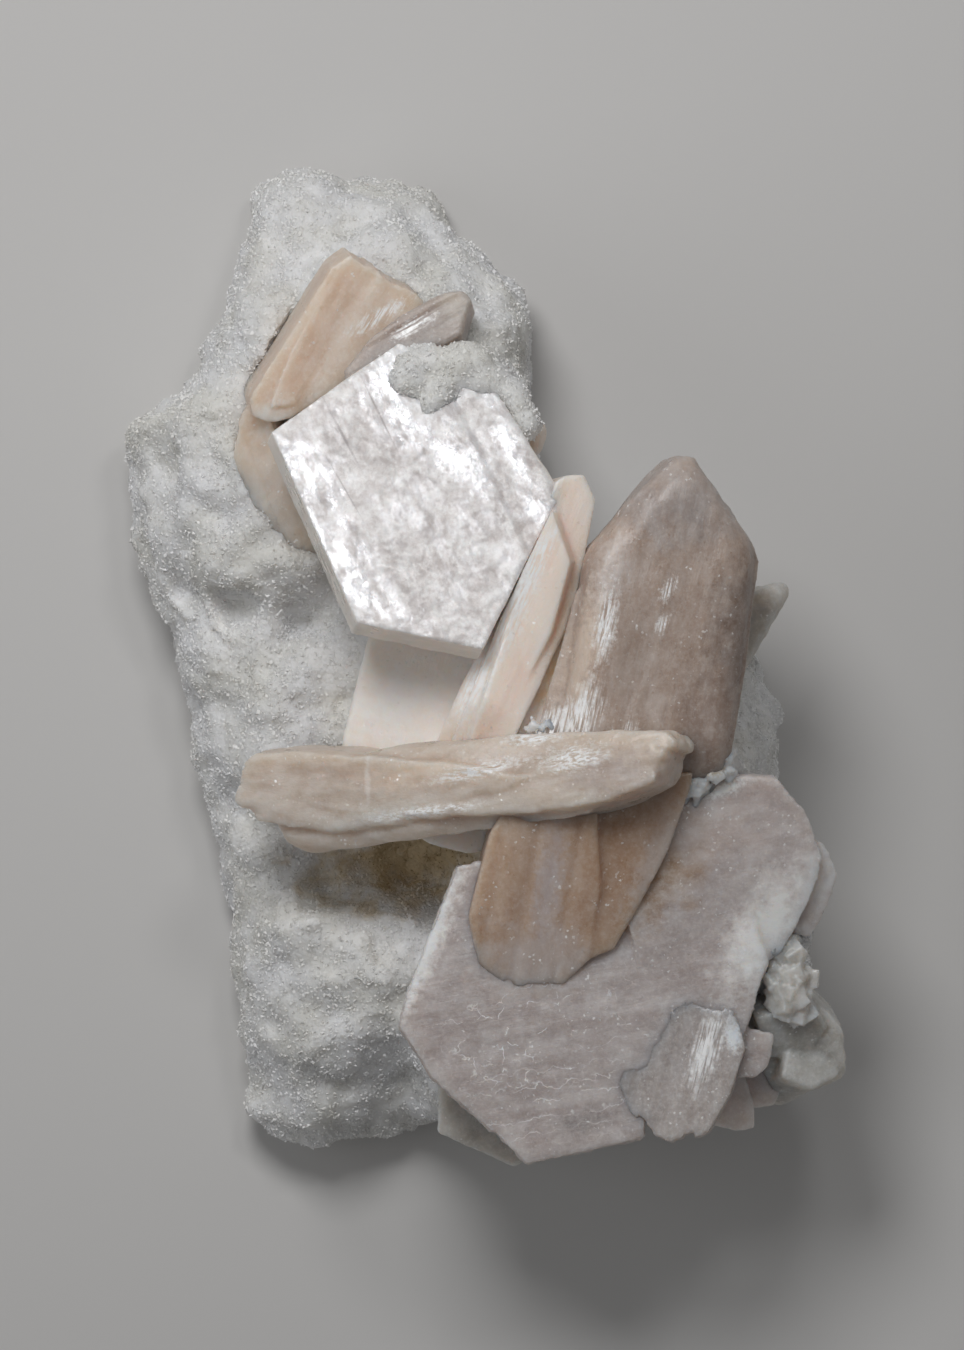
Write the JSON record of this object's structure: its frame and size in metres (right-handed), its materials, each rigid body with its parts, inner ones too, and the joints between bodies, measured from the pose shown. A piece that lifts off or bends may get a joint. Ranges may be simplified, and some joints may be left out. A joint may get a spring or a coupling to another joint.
{
  "type": "stilbite cluster",
  "caption": "Stilbite cluster: peach and pearly zeolite crystals in sheaves and flat plates, grown on a loose piece of white sugary matrix.",
  "frame": {"origin": "Middle of the whole piece's footprint, on the flat back that it lies on", "axes": "+Z out of the crystal side, away from the flat back; +Y to the top end, where the small upper sheaf is; +X to the right as the crystal side is looked at"},
  "size_m": [0.0608, 0.085, 0.0356],
  "materials": {
    "matrix": "white sugary druse of fine crystals, sparkling",
    "peach": "translucent peach crystal with silky lengthwise striations",
    "pearl": "translucent pale crystal with a bright pearly face",
    "rose": "translucent lavender-pink crystal, frosted",
    "pale": "translucent greenish-grey crystal, frosted"
  },
  "bodies": {
    "root": {"matrix": "matrix", "upper_sheaf": "peach", "pearly_plate": "pearl", "middle_blades": "peach", "crossed_sheaves": "peach", "lower_plate": "rose", "under_plate": "pale", "corner_blades": "rose", "corner_wedge": "pale", "right_spur": "pale", "edge_spur": "peach"}
  },
  "joints": []
}
